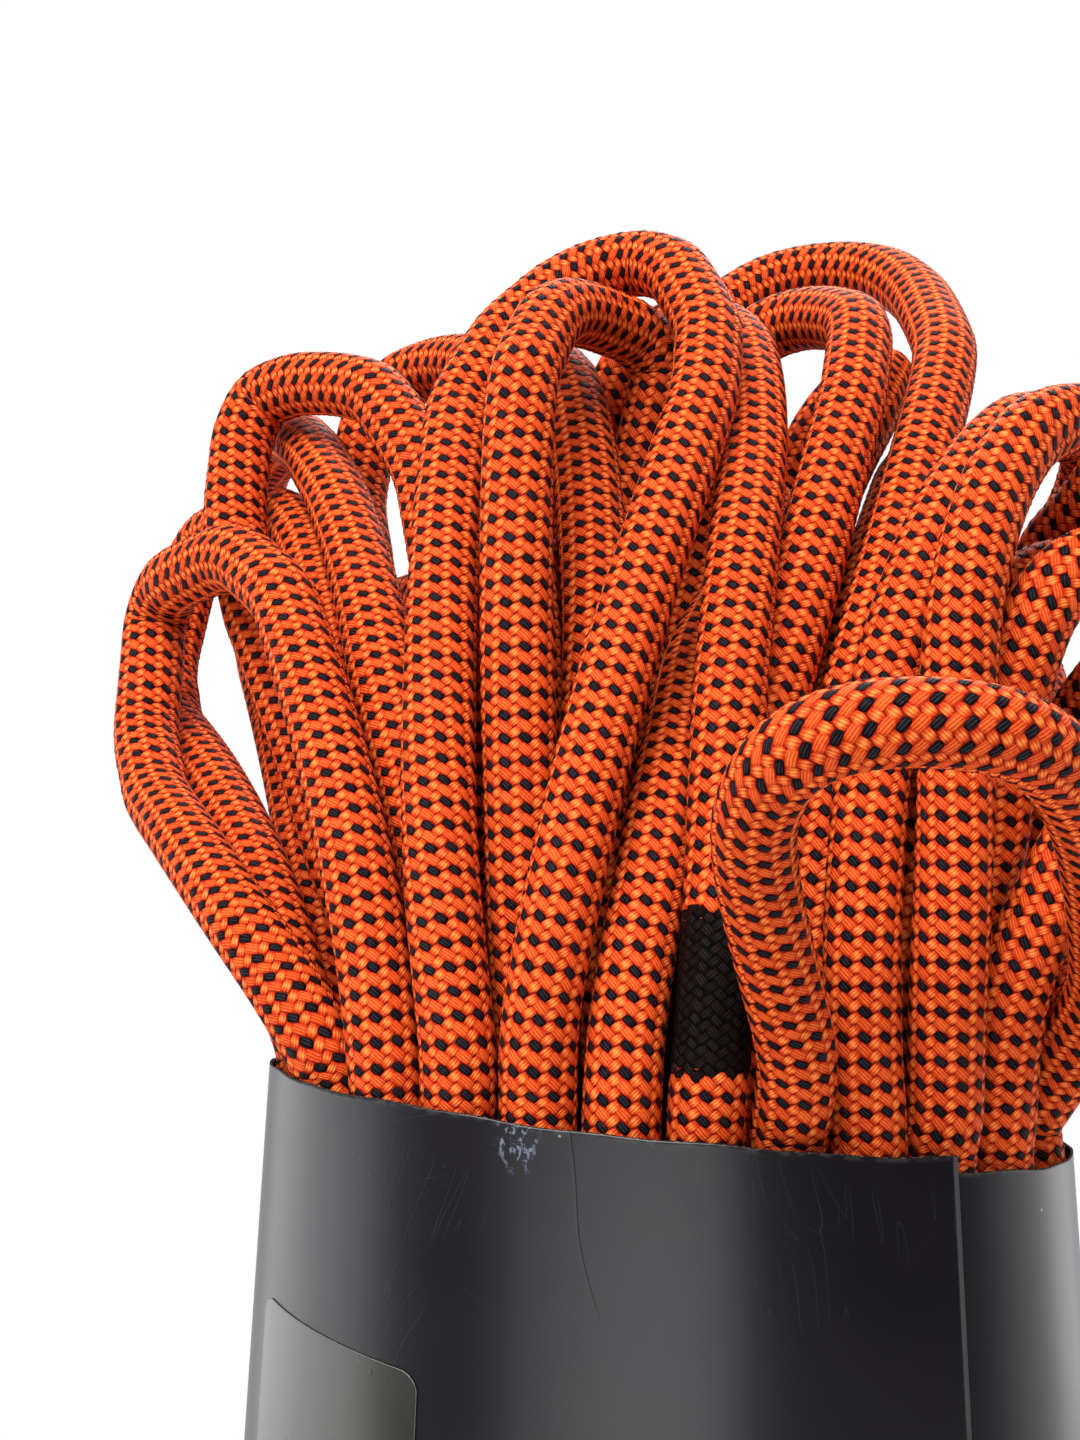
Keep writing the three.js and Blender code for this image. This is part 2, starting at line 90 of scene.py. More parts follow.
# Each loop: the level of the fold before it, ring and place of both feet, the apex with its height
# above the rim, its heading in degrees from +X and the reach of the arch
LOOPS = [
    (1, 0, 9, 0, 3, 63, 6, 92, -145, 30),
    (0, 1, -1, 0, -10, -6, 62, 105, 60, 18),
    (2, 0, 10, 0, 2, 63, 16, 92, -140, 30),
    (1, 0, -2, 0, -3, 2, 36, 113, 165, 15),
    (3, 0, 1, 0, 5, 20, -69, 53, 0, 28),
    (1, 2, 0, 2, 4, 38, 64, 114, 130, 18),
    (2, 0, 7, 0, 4, 74, -2, 58, -130, 22),
    (2, 1, 0, 1, 7, 13, 60, 115, 150, 20),
    (3, 1, -5, 2, -3, -57, 58, 100, -51, 18),
    (3, 2, 3, 1, 4, 44, 80, 76, 30, 24),
    (0, 2, -5, 1, 1, 29, 86, 131, -15, 34),
    (1, 1, -3, 0, -7, -72, 86, 98, 110, 14),
    (1, 1, -7, 2, -1, -22, 88, 86, -60, 24),
    (2, 1, 3, 0, 8, 62, 0, 78, 35, 26),
    (0, 1, -8, 0, -1, 0, 86, 92, -60, 22),
    (0, 0, -5, 0, -4, -69, 56, 68, -67, 15),
    (2, 0, 0, 0, -12, 10, 52, 116, 140, 20),
    (0, 0, -8, 2, -4, -50, 92, 66, -60, 24),
    (1, 1, 5, 2, 2, 60, 44, 70, -120, 24),
    (1, 2, -2, 1, -6, -39, 66, 111, 150, 24),
    (2, 1, 6, 2, 1, 46, 50, 96, -120, 24),
    (3, 0, 6, 1, 2, 60, 18, 70, -140, 24),
    (0, 1, -4, 0, -6, -71, 78, 88, 118, 20),
    (3, 1, -2, 0, -9, 4, 48, 107, 20, 18),
]
LAST_FOLD = 3

TAIL = 45.0  # each end's last stretch, up to the fused tip
TAIL_LEAN = math.radians(62)  # from upright
TAIL_STRAIGHT = TAIL + 1.5 * ROPE
TAILS = [((0, -11), 112, 12.0, 28.0), ((0, 11), 64, 12.0, 28.0)]  # foot, turn, out, rise

WALL_GAP = 0.35  # between the sleeve and the strands
ABOVE_RIM = 6.0  # strands stay within the cone up to this height above the rim
SAME_STRAND = 2.6 * ROPE  # points nearer than this along the rope don't count as touching
ELLIPSE_STEPS = 720
CELLS = 4096  # cells of space in a row, for the search of near strands


def vec(*v):
    return np.array(v, dtype=float)


def foot(ring, place):
    """Where a strand passes the neck, that many places round its ring of strands."""
    a, b, strands, first = RINGS[ring]
    perimeter = math.pi * (3 * (a + b) - math.sqrt((3 * a + b) * (a + 3 * b)))
    s = first + perimeter / strands * place
    t = gone = 0.0
    dt = math.copysign(2 * math.pi / ELLIPSE_STEPS, s)
    while gone < abs(s):
        gone += math.hypot(a * math.cos(t + dt / 2), b * math.sin(t + dt / 2)) * abs(dt)
        t += dt
    return a * math.sin(t), -b * math.cos(t)


def leg_point(f, z):
    """Where the strand of a foot is at height z inside the sleeve, which widens downwards."""
    more = (NECK - z) * FLARE
    a, b = RINGS[0][:2]
    return vec(f[0] * (1 + more / a), f[1] * (1 + 0.8 * more / b), z)


def bezier(p0, p1, p2, p3, count):
    t = np.linspace(0, 1, count + 1)[:, None]
    s = 1 - t
    return s**3 * p0 + 3 * s * s * t * p1 + 3 * s * t * t * p2 + t**3 * p3


def first_route():
    """The centre line as first laid: up a leg, over the arch, down a leg and through a fold."""
    route = []
    up = vec(0, 0, 1)

    def leg(f, start, end):
        route.append(np.array([leg_point(f, start + (end - start) * k / 4) for k in range(5)]))

    def fold(start, end, level):
        low = FOLD_LOW + level * FOLD_LAYER
        a, b = leg_point(start, low + FOLD_RISE), leg_point(end, low + FOLD_RISE)
        drop = -4 / 3 * FOLD_RISE * up
        route.append(bezier(a, a + drop, b + drop, b, 16))

    def top(level):
        return FOLD_LOW + FOLD_RISE + level * FOLD_LAYER

    def tail_rise(place, turn, out, rise):
        neck = leg_point(foot(*place), NECK)
        flat = vec(math.cos(math.radians(turn)), math.sin(math.radians(turn)), 0)
        along = flat * math.sin(TAIL_LEAN) + up * math.cos(TAIL_LEAN)
        start = neck + flat * out + up * rise
        bend = bezier(neck, neck + up * rise * 0.55, start - along * rise * 0.4, start, 12)
        return np.vstack([bend, start + along * TAIL_STRAIGHT])

    route.append(tail_rise(*TAILS[0])[::-1])
    last = foot(*TAILS[0][0])
    leg(last, NECK, top(LOOPS[0][0]))
    levels = [loop[0] for loop in LOOPS[1:]] + [LAST_FOLD]
    for next_level, loop in zip(levels, LOOPS):
        level, ring_a, place_a, ring_b, place_b, x, y, z, heading, reach = loop
        fa, fb = foot(ring_a, place_a), foot(ring_b, place_b)
        fold(last, fa, level)
        leg(fa, top(level), NECK)
        na, nb = leg_point(fa, NECK), leg_point(fb, NECK)
        apex = vec(x, y, HIGH + z)
        turn = math.radians(heading)
        along = reach * vec(math.cos(turn), math.sin(turn), 0)
        rise = up * (apex[2] - NECK) * 0.55
        route.append(bezier(na, na + rise, apex - along, apex, 24))
        route.append(bezier(apex, apex + along, nb + rise, nb, 24))
        leg(fb, NECK, top(next_level))
        last = fb
    end = foot(*TAILS[1][0])
    fold(last, end, LAST_FOLD)
    leg(end, top(LAST_FOLD), NECK)
    route.append(tail_rise(*TAILS[1]))
    return np.vstack(route)


def lengths(p):
    return np.r_[0, np.cumsum(np.linalg.norm(np.diff(p, axis=0), axis=1))]


def evenly(p, step):
    """The same line as points at even steps."""
    far = lengths(p)
    at = np.arange(0, far[-1], step)
    return np.stack([np.interp(at, far, p[:, k]) for k in range(3)], axis=1)


def near_pairs(p, along, reach):
    """Pairs of points that are nearer than reach, and further than that along the rope."""
    cell = np.floor(p / reach).astype(np.int64)
    key = (cell[:, 0] * CELLS + cell[:, 1]) * CELLS + cell[:, 2]
    order = np.argsort(key, kind="stable")
    keys = key[order]
    found = []
    for dx, dy, dz in itertools.product((-1, 0, 1), repeat=3):
        want = key + (dx * CELLS + dy) * CELLS + dz
        low, high = np.searchsorted(keys, want, "left"), np.searchsorted(keys, want, "right")
        count = high - low
        i = np.repeat(np.arange(len(p)), count)
        first = np.cumsum(count) - count
        j = order[np.arange(count.sum()) - np.repeat(first, count) + np.repeat(low, count)]
        near = along[j] > along[i] + SAME_STRAND
        i, j = i[near], j[near]
        near = np.linalg.norm(p[i] - p[j], axis=1) < reach
        found.append(np.stack([i[near], j[near]]))
    return np.concatenate(found, axis=1)


def rim_height(theta):
    return HIGH - RIM_SLANT * np.sin(theta) + RIM_CLIMB * (theta / (2 * math.pi) - 1)


def confine(p):
    """Keeps the strands inside the sleeve and off the ground."""
    p[:, 2] = np.maximum(p[:, 2], FOLD_LOW)
    rim = rim_height(np.arctan2(p[:, 0] / WIDE, -p[:, 1] / DEEP)) + ABOVE_RIM
    more = (HIGH - p[:, 2]) * FLARE - (CARD + WALL_GAP + ROPE / 2)
    out = np.hypot(p[:, 0] / (WIDE / 2 + more), p[:, 1] / (DEEP / 2 + more))
    shrink = np.where((p[:, 2] <= rim) & (out > 1), out, 1.0)
    p[:, :2] /= shrink[:, None]


def settle(route):
    """Moves strands apart that lie in each other, holding the rope's least bend."""
    p = evenly(route, STEP)
    n = len(p)
    along = np.arange(n) * STEP
    home = p.copy()
    bow = np.zeros_like(p)
    bow[1:-1] = (p[:-2] + p[2:]) / 2 - p[1:-1]
    pinned = math.ceil(TAIL_STRAIGHT / STEP)
    free = np.zeros(n, bool)
    free[pinned : n - pinned] = True
    spans = [
        (h, 2 * LEAST_BEND * math.sin(min(h * STEP / LEAST_BEND, math.pi / 2)))
        for h in BEND_SPANS
    ]
    for turn in range(SETTLE_ROUNDS):
        if turn % PAIRS_EVERY == 0:
            pairs = near_pairs(p, along, CLEAR + PAIRS_BEYOND)
        late = turn / SETTLE_ROUNDS
        gap = p[pairs[1]] - p[pairs[0]]
        d = np.linalg.norm(gap, axis=1)
        close = (d < CLEAR) & (d > 0)
        i, j, gap, d = pairs[0][close], pairs[1][close], gap[close], d[close]
        gap *= (0.5 * (CLEAR - d) / d)[:, None]
        push = np.stack(
            [np.bincount(j, gap[:, k], n) - np.bincount(i, gap[:, k], n) for k in range(3)], axis=1
        )
        hits = (np.bincount(i, minlength=n) + np.bincount(j, minlength=n)).astype(float)
        for half, chord in spans:
            gap = p[2 * half :] - p[: -2 * half]
            d = np.linalg.norm(gap, axis=1)
            close = (d < chord) & (d > 0)
            gap *= np.where(close, 0.5 * (chord - d) / np.maximum(d, 1e-9), 0)[:, None]
            push[: -2 * half] -= gap
            push[2 * half :] += gap
            hits[: -2 * half] += close
            hits[2 * half :] += close
        push *= np.where(hits > 0, OVER / (hits + 0.5), 1)[:, None]
        # The rope bends back towards its first shape
        spring = SPRING * min(1, 2.2 - 2 * late)
        push[1:-1] += ((p[:-2] + p[2:]) / 2 - p[1:-1] - bow[1:-1]) * spring
        if late < 0.5:
            push += (home - p) * (HOME * (0.5 - late))
        far = np.linalg.norm(push, axis=1)
        push *= (MOST_PUSH / np.maximum(far, MOST_PUSH))[:, None]
        moved = p + push
        confine(moved)
        p[free] = moved[free]
    return p


ROUTE = settle(first_route())

# The sleeve's axis stands here in the row frame
sleeve_low, sleeve_high = (np.array(c) * 1000 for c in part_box("sleeve"))
AXIS = vec(
    (sleeve_low[0] + sleeve_high[0]) / 2,
    sleeve_high[1] - (DEEP / 2 + HIGH * FLARE),
    0,
)


def placed(p):
    """Millimetres about the sleeve's axis to metres in the row frame."""
    return (np.asarray(p) + AXIS) / 1000


# ---------------------------------------------------------------- camera

CAMERA = (-17.9, -326.0, 332.6)
FOCAL, PHOTO_HIGH = 2310, 1440  # pixels of the photograph
SENSOR = 36

scene = bpy.context.scene
cam_data = bpy.data.cameras.new("camera")
cam = bpy.data.objects.new("camera", cam_data)
scene.collection.objects.link(cam)
scene.camera = cam
cam.location = placed(CAMERA)
cam.rotation_euler = (math.pi / 2, 0, 0)
cam_data.sensor_width = SENSOR
cam_data.lens = SENSOR * FOCAL / PHOTO_HIGH
cam_data.clip_start = 0.01

# ---------------------------------------------------------------- the rope

ROW = 3.1  # one row of flecks along the rope
COLUMNS = 11  # flecks round the rope
TILE_ROWS = 12  # rows in one repeat of the map
MAP_ROPE = 0.8  # the map's width that the plain rope takes; the marked stretch has the rest
FINE = 4  # rings in a row, and sides in a column
SIDES = FINE * COLUMNS
RING_STEP = ROW / FINE
COARSE = 6  # inside the sleeve only one ring in so many is kept, with half the sides
FINE_BELOW = 20.0  # how far below the rim the rings are all kept
TIP_RINGS = 4  # rings that the fused tip takes at each end
UV_MAP = "OFBake"
VALLEY, RELIEF = 4.86, 0.3  # radius between the yarns, and their height
PLAIN_RELIEF = 0.4  # share of that height where the mesh is coarse
MARK_ABOVE = 20.0  # the black mark's middle is this far above the rim
TWISTS = ((0.5, 83.0, 0.0), (0.35, 31.0, 2.0))  # the rope's slow twist: size, length and start
# The floats of one row of one column: row and column of the middle, lean, half width and half
# length in quarters of a row, height. The first is the black one.
FLOATS = (
    (0.0, 0.0, 1, 0.52, 0.82, 1.1),
    (0.5, 0.0, 1, 0.68, 1.05, 1.0),
    (0.75, 0.5, -1, 0.58, 0.85, 0.82),
    (0.25, 0.5, -1, 0.58, 0.85, 0.82),
)
BARREL = 4.0  # how square a float is
LEAN = 0.2  # its turn towards the round, beyond the yarn's own


def fine_line(p, step):
    """A smooth line through the points, with even steps."""
    q = np.vstack([2 * p[0] - p[1], p, 2 * p[-1] - p[-2]])
    t = (np.arange(8) / 8)[:, None]
    a, b, c, d = (q[k : len(q) - 3 + k, None, :] for k in range(4))
    out = 0.5 * (
        2 * b + (c - a) * t + (2 * a - 5 * b + 4 * c - d) * t**2 + (3 * b - a - 3 * c + d) * t**3
    )
    return evenly(np.vstack([out.reshape(-1, 3), p[-1:]]), step)


def frames(p):
    """Two directions across the line at each point, that don't twist."""
    t = np.gradient(p, axis=0)
    t /= np.linalg.norm(t, axis=1)[:, None]
    side = np.zeros_like(p)
    s = np.cross(vec(1, 0.3, 0.2), t[0])
    side[0] = s / np.linalg.norm(s)
    for i in range(1, len(p)):
        s = side[i - 1] - t[i] * side[i - 1].dot(t[i])
        side[i] = s / np.linalg.norm(s)
    return side, np.cross(t, side)


def yarn_height(rows, columns):
    """The braid's relief, from 0 between the yarns to 1 on them."""
    best = np.zeros(np.broadcast(rows, columns).shape)
    for row, column, way, half_wide, half_long, level in FLOATS:
        dr = (rows - row + 0.5) % 1 - 0.5
        dc = (columns - column + 0.5) % 1 - 0.5
        along = 2 * (dr - way * dc)
        across = 2 * (dr + way * dc) + LEAN * along
        left = 1 - np.abs(across / half_wide) ** BARREL - np.abs(along / half_long) ** BARREL
        best = np.maximum(best, level * np.sqrt(np.maximum(left, 0)))
    return best


line = fine_line(ROUTE, RING_STEP)
side_a, side_b = frames(line)
far = np.arange(len(line)) * RING_STEP
twist = sum(size * np.sin(far / length + start) for size, length, start in TWISTS)

# Rings that are kept: all of them above the rim, from the fused tips on
last_ring = len(line) - 1 - TIP_RINGS
fine = line[:, 2] > HIGH - FINE_BELOW
ring_no = np.arange(len(line))
kept = (ring_no >= TIP_RINGS) & (ring_no <= last_ring) & (fine | (ring_no % COARSE == 0))
kept = ring_no[kept]
tile = TILE_ROWS * FINE
mark_at = np.argmin(np.linalg.norm(line - leg_point(foot(0, 0), HIGH + MARK_ABOVE), axis=1))
mark_from = (mark_at // FINE - TILE_ROWS // 2) * FINE
mark_to = mark_from + tile

ring_sides = np.where(fine[kept], SIDES, SIDES // 2)
offset = np.r_[0, np.cumsum(ring_sides)]
ring_of = np.repeat(np.arange(len(kept)), ring_sides)
quarter = (np.arange(offset[-1]) - offset[ring_of]) * (SIDES // ring_sides[ring_of])
ring = kept[ring_of]
turn = 2 * math.pi * quarter / SIDES + twist[ring]
relief = np.where(fine[ring], yarn_height(ring / FINE, quarter / FINE), PLAIN_RELIEF)
radius = VALLEY + RELIEF * relief
verts = line[ring] + radius[:, None] * (
    np.cos(turn)[:, None] * side_a[ring] + np.sin(turn)[:, None] * side_b[ring]
)


def around(k, step):
    """Both corners of each side of ring k, in quarter columns from 0 to SIDES."""
    n = SIDES // step
    j = np.arange(n)
    own = ring_sides[k] // n
    return offset[k] + j * own, offset[k] + (j + 1) % n * own, j * step, (j + 1) * step


def face_rows(k):
    """The faces between kept rings k and k + 1, each corner with its place in the map."""
    marked = mark_from <= kept[k] < mark_to
    start, wide = (MAP_ROPE, 1 - MAP_ROPE) if marked else (0.0, MAP_ROPE)
    v0 = (kept[k] - mark_from if marked else kept[k]) / tile
    v1 = v0 + (kept[k + 1] - kept[k]) / tile
    step = 1 if ring_sides[k] == ring_sides[k + 1] == SIDES else 2
    a, b, ja, jb = around(k, step)
    d, c, _, _ = around(k + 1, step)
    ua, ub = start + wide * ja / SIDES, start + wide * jb / SIDES
    low, high = np.full(len(a), v0), np.full(len(a), v1)
    ids = [a, b, c, d]
    maps = [(ua, low), (ub, low), (ub, high), (ua, high)]
    if step == 2 and ring_sides[k] == SIDES:
        ids.insert(1, a + 1)
        maps.insert(1, ((ua + ub) / 2, low))
    if step == 2 and ring_sides[k + 1] == SIDES:
        ids.insert(3, d + 1)
        maps.insert(3, ((ua + ub) / 2, high))
    return np.stack(ids, 1).tolist(), np.stack([np.stack(m, 1) for m in maps], 1).reshape(-1, 2)


faces, corners = [], []
for k in range(len(kept) - 1):
    ids, maps = face_rows(k)
    faces += ids
    corners.append(maps)
for k, order in ((0, -1), (len(kept) - 1, 1)):
    cap = np.arange(offset[k], offset[k + 1])[::order]
    faces.append(cap.tolist())
    corners.append(np.tile([0.1, 0.1], (len(cap), 1)))


def mesh_object(name, verts_mm, faces, uv):
    mesh = bpy.data.meshes.new(name)
    mesh.from_pydata(placed(np.reshape(verts_mm, (-1, 3))).tolist(), [], faces)
    mesh.polygons.foreach_set("use_smooth", [True] * len(mesh.polygons))
    mesh.uv_layers.new(name=UV_MAP).data.foreach_set("uv", np.reshape(uv, -1))
    obj = bpy.data.objects.new(name, mesh)
    scene.collection.objects.link(obj)
    return obj


rope = mesh_object("rope", verts, faces, np.concatenate(corners))

# ---------------------------------------------------------------- materials

OBJECT = 3  # the Texture Coordinate node's output in the object's own coordinates


class Nodes:
    """Builds the shader nodes of a tree from numbers and sockets."""

    def __init__(self, tree):
        self.tree = tree

    def put(self, socket, value):
        if isinstance(value, bpy.types.NodeSocket):
            self.tree.links.new(value, socket)
        elif isinstance(value, tuple) and len(value) == 3 and socket.type == "RGBA":
            socket.default_value = (*value, 1)
        else:
            socket.default_value = value

    def node(self, kind, out=0, settings=(), **inputs):
        n = self.tree.nodes.new(kind)
        for key, value in dict(settings).items():
            setattr(n, key, value)
        for key, value in inputs.items():
            self.put(n.inputs[int(key[1:]) if key[1:].isdigit() else key.replace("_", " ")], value)
        return n.outputs[out]

    def math(self, op, a, b=0.0, c=0.0):
        return self.node("ShaderNodeMath", 0, {"operation": op}, i0=a, i1=b, i2=c)

    def add(self, a, b):
        return self.math("ADD", a, b)

    def sub(self, a, b):
        return self.math("SUBTRACT", a, b)

    def mul(self, a, b):
        return self.math("MULTIPLY", a, b)

    def absolute(self, a):
        return self.math("ABSOLUTE", a)

    def power(self, a, b):
        return self.math("POWER", self.absolute(a), b)

    def fract(self, a):
        return self.math("FRACT", a)

    def step(self, value, low, high):
        """Rises smoothly from 0 at low to 1 at high."""
        smooth = {"interpolation_type": "SMOOTHSTEP"}
        return self.node("ShaderNodeMapRange", 0, smooth, i0=value, i1=low, i2=high, i3=0.0, i4=1.0)

    def lerp(self, a, b, t):
        """Mixes numbers."""
        return self.node("ShaderNodeMix", 0, {"data_type": "FLOAT"}, i0=t, i2=a, i3=b)

    def mix(self, a, b, t):
        """Mixes colours."""
        return self.node("ShaderNodeMix", 2, {"data_type": "RGBA"}, i0=t, i6=a, i7=b)

    def ramp(self, t, *stops):
        n = self.tree.nodes.new("ShaderNodeValToRGB")
        while len(n.color_ramp.elements) < len(stops):
            n.color_ramp.elements.new(0.5)
        for element, (at, value) in zip(n.color_ramp.elements, stops):
            element.position = at
            element.color = (*value, 1) if isinstance(value, tuple) else (value, value, value, 1)
        self.put(n.inputs[0], t)
        return n.outputs[0]

    def noise(self, vector, scale, detail=2.0, roughness=0.5):
        return self.node(
            "ShaderNodeTexNoise", 0, Vector=vector, Scale=scale, Detail=detail, Roughness=roughness
        )

    def vector(self, x, y, z=0.0):
        return self.node("ShaderNodeCombineXYZ", 0, i0=x, i1=y, i2=z)

    def split(self, vector):
        n = self.tree.nodes.new("ShaderNodeSeparateXYZ")
        self.put(n.inputs[0], vector)
        return n.outputs

    def bump(self, height, strength, distance):
        return self.node(
            "ShaderNodeBump", 0, Strength=strength, Distance=distance, Height=height
        )


class Look(Nodes):
    """A new material, with its nodes."""

    def __init__(self, name):
        self.material = bpy.data.materials.new(name)
        self.material.use_nodes = True
        super().__init__(self.material.node_tree)
        self.shader = self.tree.nodes["Principled BSDF"]

    def map_uv(self, wide=1.0, high=1.0):
        """The map's two coordinates, scaled."""
        x, y, _ = self.split(self.node("ShaderNodeUVMap", 0, {"uv_map": UV_MAP}))
        return self.mul(x, wide), self.mul(y, high)

    def round_map(self, lengthwise):
        """The map as coordinates without a seam, for a turned body."""
        u, v = self.map_uv()
        angle = self.mul(u, 2 * math.pi)
        return self.vector(
            self.math("COSINE", angle), self.math("SINE", angle), self.mul(v, lengthwise)
        )

    def done(self, **inputs):
        for key, value in inputs.items():
            self.put(self.shader.inputs[key.replace("_", " ")], value)
        return self.material


PLIES, PLY_TURN, PLY_HEIGHT = 2.7, -0.14, 0.14  # plies in a yarn, their turn and relief
CREST = (0.05, 0.6)  # where a float's highlight fades, along it
MARK_HALF, MARK_RAGGED = 0.27, 0.06  # shares of the map's height
# Colours of the braid by how much light a place gets
ORANGE = (
    (0.0, (0.13, 0.0045, 0.0012)),
    (0.4, (0.45, 0.023, 0.0048)),
    (0.8, (0.68, 0.078, 0.0125)),
    (1.0, (0.84, 0.14, 0.025)),
)
ORANGE_CREST = (
    (0.0, (0.1, 0.004, 0.001)),
    (0.35, (0.5, 0.04, 0.008)),
    (0.75, (0.86, 0.165, 0.032)),
    (1.0, (0.96, 0.29, 0.062)),
)
BLACK = (
    (0.0, (0.0006, 0.0004, 0.0006)),
    (0.7, (0.002, 0.0015, 0.0022)),
    (1.0, (0.022, 0.018, 0.024)),
)
INK = (
    (0.0, (0.001, 0.001, 0.001)),
    (0.6, (0.0028, 0.0014, 0.0013)),
    (1.0, (0.014, 0.008, 0.007)),
)


def float_nodes(m, k, rows, columns):
    """Height of float k, the place along it, its yarn's shade and its plies."""
    row, column, way, half_wide, half_long, level = FLOATS[k]
    r, c = m.add(rows, 0.5 - row), m.add(columns, 0.5 - column)
    dr, dc = m.sub(m.fract(r), 0.5), m.mul(m.sub(m.fract(c), 0.5), way)
    along = m.mul(m.sub(dr, dc), 2)
    across = m.add(m.mul(m.add(dr, dc), 2), m.mul(along, LEAN))
    left = m.sub(
        m.sub(1, m.power(m.mul(across, 1 / half_wide), BARREL)),
        m.power(m.mul(along, 1 / half_long), BARREL),
    )
    height = m.mul(m.math("SQRT", m.math("MAXIMUM", left, 0)), level)
    # A number that looks random for each yarn, the same in every repeat of the map
    r, c = m.math("FLOORED_MODULO", r, TILE_ROWS), m.math("FLOORED_MODULO", c, COLUMNS)
    seed = m.add(m.mul(m.math("FLOOR", r), 12.9898), m.mul(m.math("FLOOR", c), 78.233))
    shade = m.fract(m.mul(m.math("SINE", m.add(seed, k * 3.7)), 437.585))
    # The plies run along the yarn, turned a little the other way
    turn = m.add(across, m.mul(along, PLY_TURN))
    plies = m.math("COSINE", m.mul(m.add(turn, m.mul(shade, 0.3)), 2 * math.pi * PLIES))
    return height, along, shade, plies


def braid_material():
    """A two over two braid of orange yarns, every other one of one direction black."""
    m = Look("braid")
    u, v = m.map_uv()
    marked = m.math("GREATER_THAN", u, MAP_ROPE)
    columns = m.lerp(
        m.mul(u, COLUMNS / MAP_ROPE), m.mul(m.sub(u, MAP_ROPE), COLUMNS / (1 - MAP_ROPE)), marked
    )
    rows = m.mul(v, TILE_ROWS)
    height, _, shade, plies = float_nodes(m, 0, rows, columns)
    black, crests = m.math("GREATER_THAN", height, 0.0), 0.0
    for k in range(1, len(FLOATS)):
        own, along, lot, ply = float_nodes(m, k, rows, columns)
        over = m.math("GREATER_THAN", own, height)
        height = m.math("MAXIMUM", own, height)
        black = m.mul(black, m.sub(1, over))
        shade = m.lerp(shade, lot, over)
        plies = m.lerp(plies, ply, over)
        # The yarns of one direction catch the light where they bend over
        way = FLOATS[k][2]
        crest = 0.0 if way > 0 else m.sub(1, m.step(m.absolute(along), *CREST))
        crests = m.lerp(crests, crest, over)
    fuzz = m.noise(m.vector(m.mul(rows, 3.1), m.mul(columns, 2.9)), 2.4, 2.0, 0.7)
    plies = m.mul(plies, height)
    relief = m.add(height, m.mul(plies, PLY_HEIGHT))
    lit = m.add(m.mul(relief, m.lerp(0.73, 0.92, crests)), m.mul(shade, 0.17))
    lit = m.add(lit, m.mul(plies, 0.12))
    lit = m.add(lit, m.mul(m.sub(fuzz, 0.5), 0.7))
    orange = m.mix(m.ramp(lit, *ORANGE), m.ramp(lit, *ORANGE_CREST), crests)
    colour = m.mix(orange, m.ramp(lit, *BLACK), black)
    # The black mark in the rope's middle, its ends ragged along the yarns
    from_middle = m.absolute(m.sub(m.fract(v), 0.5))
    ragged = m.add(from_middle, m.mul(m.sub(shade, 0.5), MARK_RAGGED))
    inked = m.mul(marked, m.math("LESS_THAN", ragged, MARK_HALF))
    colour = m.mix(colour, m.ramp(lit, *INK), inked)
    return m.done(
        Base_Color=colour,
        Roughness=m.lerp(0.9, 0.5, height),
        Normal=m.bump(relief, 1.0, 0.00025),
        Specular_IOR_Level=0.05,
    )


rope.data.materials.append(braid_material())
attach(rope, "root")
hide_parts("rope_hank", "end_a_sheath", "end_b_sheath")


def grained(name, scale, detail, colours, bump):
    """A dull material with a fine grain, for what hardly shows."""
    m = Look(name)
    grain = m.noise(m.node("ShaderNodeTexCoord", OBJECT), scale, detail)
    return m.done(
        Base_Color=m.mix(*colours, grain), Roughness=0.7, Normal=m.bump(grain, *bump)
    )


# ---------------------------------------------------------------- the rope's ends

# The fused tip: radius, and how far before its end
MELTED = (
    (0, 3.4),
    (4.9, 3.4),
    (5.12, 2.9),
    (5.2, 2.2),
    (5.05, 1.5),
    (4.75, 0.9),
    (4.2, 0.45),
    (3.2, 0.2),
    (1.8, 0.08),
    (0, 0.05),
)
FILM_INSIDE, FILM_OUTSIDE = 5.24, 5.4  # radii of the clear band
FILM_FROM_TIP, FILM_LONG, FILM_ROWS = 6.0, 20.0, 12
CORES = 7


def end_axis(cut, tip):
    """Where an end starts, its direction, two directions across it and its length."""
    long = np.linalg.norm(tip - cut)
    along = (tip - cut) / long
    side = np.cross(along, vec(0.3, 0.1, 1))
    side /= np.linalg.norm(side)
    return cut, along, side, np.cross(along, side), long


def turned(name, axis, profile, wobble, sides=64):
    """A lathe body on an end's axis, from (radius, place) pairs."""
    cut, along, across, over, _ = axis
    r, s = np.array(profile).T
    t = 2 * math.pi * np.arange(sides) / sides
    radii = r[:, None] + wobble(t[None, :], s[:, None]) * (r[:, None] > 0)
    round_ = np.cos(t)[None, :, None] * across + np.sin(t)[None, :, None] * over
    points = cut + s[:, None, None] * along + radii[..., None] * round_
    i, j = np.arange(len(r) - 1)[:, None] * sides, np.arange(sides)[None, :]
    quads = np.stack([i + j, i + (j + 1) % sides, i + sides + (j + 1) % sides, i + sides + j], 2)
    j, i = np.meshgrid(np.arange(sides), np.arange(len(r) - 1))
    uv = [
        np.stack([(j + a) / sides, (i + b) / (len(r) - 1)], 2)
        for a, b in ((0, 0), (1, 0), (1, 1), (0, 1))
    ]
    return mesh_object(name, points, quads.reshape(-1, 4).tolist(), np.stack(uv, 2))


